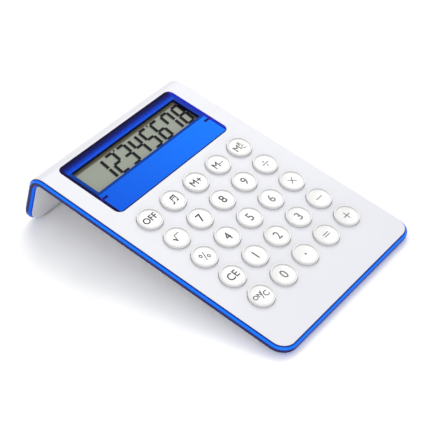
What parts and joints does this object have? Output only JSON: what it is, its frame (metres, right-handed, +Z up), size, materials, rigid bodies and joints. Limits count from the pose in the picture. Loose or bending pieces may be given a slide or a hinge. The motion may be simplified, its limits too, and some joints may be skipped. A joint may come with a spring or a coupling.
{
  "type": "desk calculator",
  "caption": "Desk calculator bent from one thin slab: keypad and display slope on a full-width back leg, white shell in a blue edge frame, round clear keys",
  "frame": {"origin": "middle of the footprint, on the table", "axes": "+X right as the user faces the display, +Y from the front edge to the leg, +Z up"},
  "size_m": [0.1046, 0.1598, 0.0345],
  "materials": {
    "white_shell": "glossy moulded white",
    "blue_frame": "glossy deep blue",
    "blue_panel": "glossy blue with fine streaks",
    "clear_keys": "clear moulded caps printed white underneath",
    "polariser": "grey-green film",
    "display_glass": "clear thin glass",
    "reflector": "brushed foil",
    "striped_rubber": "striped conductive rubber",
    "silicone": "translucent white silicone",
    "carbon": "matt black",
    "board": "tan laminate",
    "ceramic": "tan ceramic",
    "brass": "rolled brass",
    "cell_steel": "bright nickel plate",
    "spring_steel": "rolled strip",
    "screw_steel": "zinc plate",
    "foot_rubber": "matt grey rubber",
    "resin": "black resin"
  },
  "bodies": {
    "case": {"edge_frame": "blue_frame", "top_cover": "white_shell", "bottom_cover": "white_shell", "display_panel": "blue_panel", "front_polariser": "polariser", "front_glass": "display_glass", "rear_glass": "display_glass", "rear_reflector": "reflector", "striped_connector": "striped_rubber", "key_mat": "silicone", "carbon_pills": "carbon", "circuit_board": "board", "board_parts": "ceramic", "sounder_disc": "brass", "button_cells": "cell_steel", "cell_contacts": "spring_steel", "cell_link": "spring_steel", "cell_door": "white_shell", "case_screws": "screw_steel", "door_screw": "screw_steel", "front_feet": "foot_rubber", "leg_sole": "foot_rubber", "chip_cap": "resin"},
    "key_off": {"key_off": "clear_keys"},
    "key_melody": {"key_melody": "clear_keys"},
    "key_memory_plus": {"key_memory_plus": "clear_keys"},
    "key_memory_minus": {"key_memory_minus": "clear_keys"},
    "key_memory_recall": {"key_memory_recall": "clear_keys"},
    "key_square_root": {"key_square_root": "clear_keys"},
    "key_seven": {"key_seven": "clear_keys"},
    "key_eight": {"key_eight": "clear_keys"},
    "key_nine": {"key_nine": "clear_keys"},
    "key_divide": {"key_divide": "clear_keys"},
    "key_percent": {"key_percent": "clear_keys"},
    "key_four": {"key_four": "clear_keys"},
    "key_five": {"key_five": "clear_keys"},
    "key_six": {"key_six": "clear_keys"},
    "key_multiply": {"key_multiply": "clear_keys"},
    "key_clear_entry": {"key_clear_entry": "clear_keys"},
    "key_one": {"key_one": "clear_keys"},
    "key_two": {"key_two": "clear_keys"},
    "key_three": {"key_three": "clear_keys"},
    "key_minus": {"key_minus": "clear_keys"},
    "key_on_clear": {"key_on_clear": "clear_keys"},
    "key_zero": {"key_zero": "clear_keys"},
    "key_point": {"key_point": "clear_keys"},
    "key_equals": {"key_equals": "clear_keys"},
    "key_plus": {"key_plus": "clear_keys"}
  },
  "joints": [
    {"name": "press_off", "type": "slide", "parent": "case", "child": "key_off", "axis": [0, 0.2071, -0.9783], "range_m": [0, 0.0009], "stiffness_N_per_m": 400, "springref_m": -0.0008},
    {"name": "press_melody", "type": "slide", "parent": "case", "child": "key_melody", "axis": [0, 0.2071, -0.9783], "range_m": [0, 0.0009], "stiffness_N_per_m": 400, "springref_m": -0.0008},
    {"name": "press_memory_plus", "type": "slide", "parent": "case", "child": "key_memory_plus", "axis": [0, 0.2071, -0.9783], "range_m": [0, 0.0009], "stiffness_N_per_m": 400, "springref_m": -0.0008},
    {"name": "press_memory_minus", "type": "slide", "parent": "case", "child": "key_memory_minus", "axis": [0, 0.2071, -0.9783], "range_m": [0, 0.0009], "stiffness_N_per_m": 400, "springref_m": -0.0008},
    {"name": "press_memory_recall", "type": "slide", "parent": "case", "child": "key_memory_recall", "axis": [0, 0.2071, -0.9783], "range_m": [0, 0.0009], "stiffness_N_per_m": 400, "springref_m": -0.0008},
    {"name": "press_square_root", "type": "slide", "parent": "case", "child": "key_square_root", "axis": [0, 0.2071, -0.9783], "range_m": [0, 0.0009], "stiffness_N_per_m": 400, "springref_m": -0.0008},
    {"name": "press_seven", "type": "slide", "parent": "case", "child": "key_seven", "axis": [0, 0.2071, -0.9783], "range_m": [0, 0.0009], "stiffness_N_per_m": 400, "springref_m": -0.0008},
    {"name": "press_eight", "type": "slide", "parent": "case", "child": "key_eight", "axis": [0, 0.2071, -0.9783], "range_m": [0, 0.0009], "stiffness_N_per_m": 400, "springref_m": -0.0008},
    {"name": "press_nine", "type": "slide", "parent": "case", "child": "key_nine", "axis": [0, 0.2071, -0.9783], "range_m": [0, 0.0009], "stiffness_N_per_m": 400, "springref_m": -0.0008},
    {"name": "press_divide", "type": "slide", "parent": "case", "child": "key_divide", "axis": [0, 0.2071, -0.9783], "range_m": [0, 0.0009], "stiffness_N_per_m": 400, "springref_m": -0.0008},
    {"name": "press_percent", "type": "slide", "parent": "case", "child": "key_percent", "axis": [0, 0.2071, -0.9783], "range_m": [0, 0.0009], "stiffness_N_per_m": 400, "springref_m": -0.0008},
    {"name": "press_four", "type": "slide", "parent": "case", "child": "key_four", "axis": [0, 0.2071, -0.9783], "range_m": [0, 0.0009], "stiffness_N_per_m": 400, "springref_m": -0.0008},
    {"name": "press_five", "type": "slide", "parent": "case", "child": "key_five", "axis": [0, 0.2071, -0.9783], "range_m": [0, 0.0009], "stiffness_N_per_m": 400, "springref_m": -0.0008},
    {"name": "press_six", "type": "slide", "parent": "case", "child": "key_six", "axis": [0, 0.2071, -0.9783], "range_m": [0, 0.0009], "stiffness_N_per_m": 400, "springref_m": -0.0008},
    {"name": "press_multiply", "type": "slide", "parent": "case", "child": "key_multiply", "axis": [0, 0.2071, -0.9783], "range_m": [0, 0.0009], "stiffness_N_per_m": 400, "springref_m": -0.0008},
    {"name": "press_clear_entry", "type": "slide", "parent": "case", "child": "key_clear_entry", "axis": [0, 0.2071, -0.9783], "range_m": [0, 0.0009], "stiffness_N_per_m": 400, "springref_m": -0.0008},
    {"name": "press_one", "type": "slide", "parent": "case", "child": "key_one", "axis": [0, 0.2071, -0.9783], "range_m": [0, 0.0009], "stiffness_N_per_m": 400, "springref_m": -0.0008},
    {"name": "press_two", "type": "slide", "parent": "case", "child": "key_two", "axis": [0, 0.2071, -0.9783], "range_m": [0, 0.0009], "stiffness_N_per_m": 400, "springref_m": -0.0008},
    {"name": "press_three", "type": "slide", "parent": "case", "child": "key_three", "axis": [0, 0.2071, -0.9783], "range_m": [0, 0.0009], "stiffness_N_per_m": 400, "springref_m": -0.0008},
    {"name": "press_minus", "type": "slide", "parent": "case", "child": "key_minus", "axis": [0, 0.2071, -0.9783], "range_m": [0, 0.0009], "stiffness_N_per_m": 400, "springref_m": -0.0008},
    {"name": "press_on_clear", "type": "slide", "parent": "case", "child": "key_on_clear", "axis": [0, 0.2071, -0.9783], "range_m": [0, 0.0009], "stiffness_N_per_m": 400, "springref_m": -0.0008},
    {"name": "press_zero", "type": "slide", "parent": "case", "child": "key_zero", "axis": [0, 0.2071, -0.9783], "range_m": [0, 0.0009], "stiffness_N_per_m": 400, "springref_m": -0.0008},
    {"name": "press_point", "type": "slide", "parent": "case", "child": "key_point", "axis": [0, 0.2071, -0.9783], "range_m": [0, 0.0009], "stiffness_N_per_m": 400, "springref_m": -0.0008},
    {"name": "press_equals", "type": "slide", "parent": "case", "child": "key_equals", "axis": [0, 0.2071, -0.9783], "range_m": [0, 0.0009], "stiffness_N_per_m": 400, "springref_m": -0.0008},
    {"name": "press_plus", "type": "slide", "parent": "case", "child": "key_plus", "axis": [0, 0.2071, -0.9783], "range_m": [0, 0.0009], "stiffness_N_per_m": 400, "springref_m": -0.0008}
  ]
}
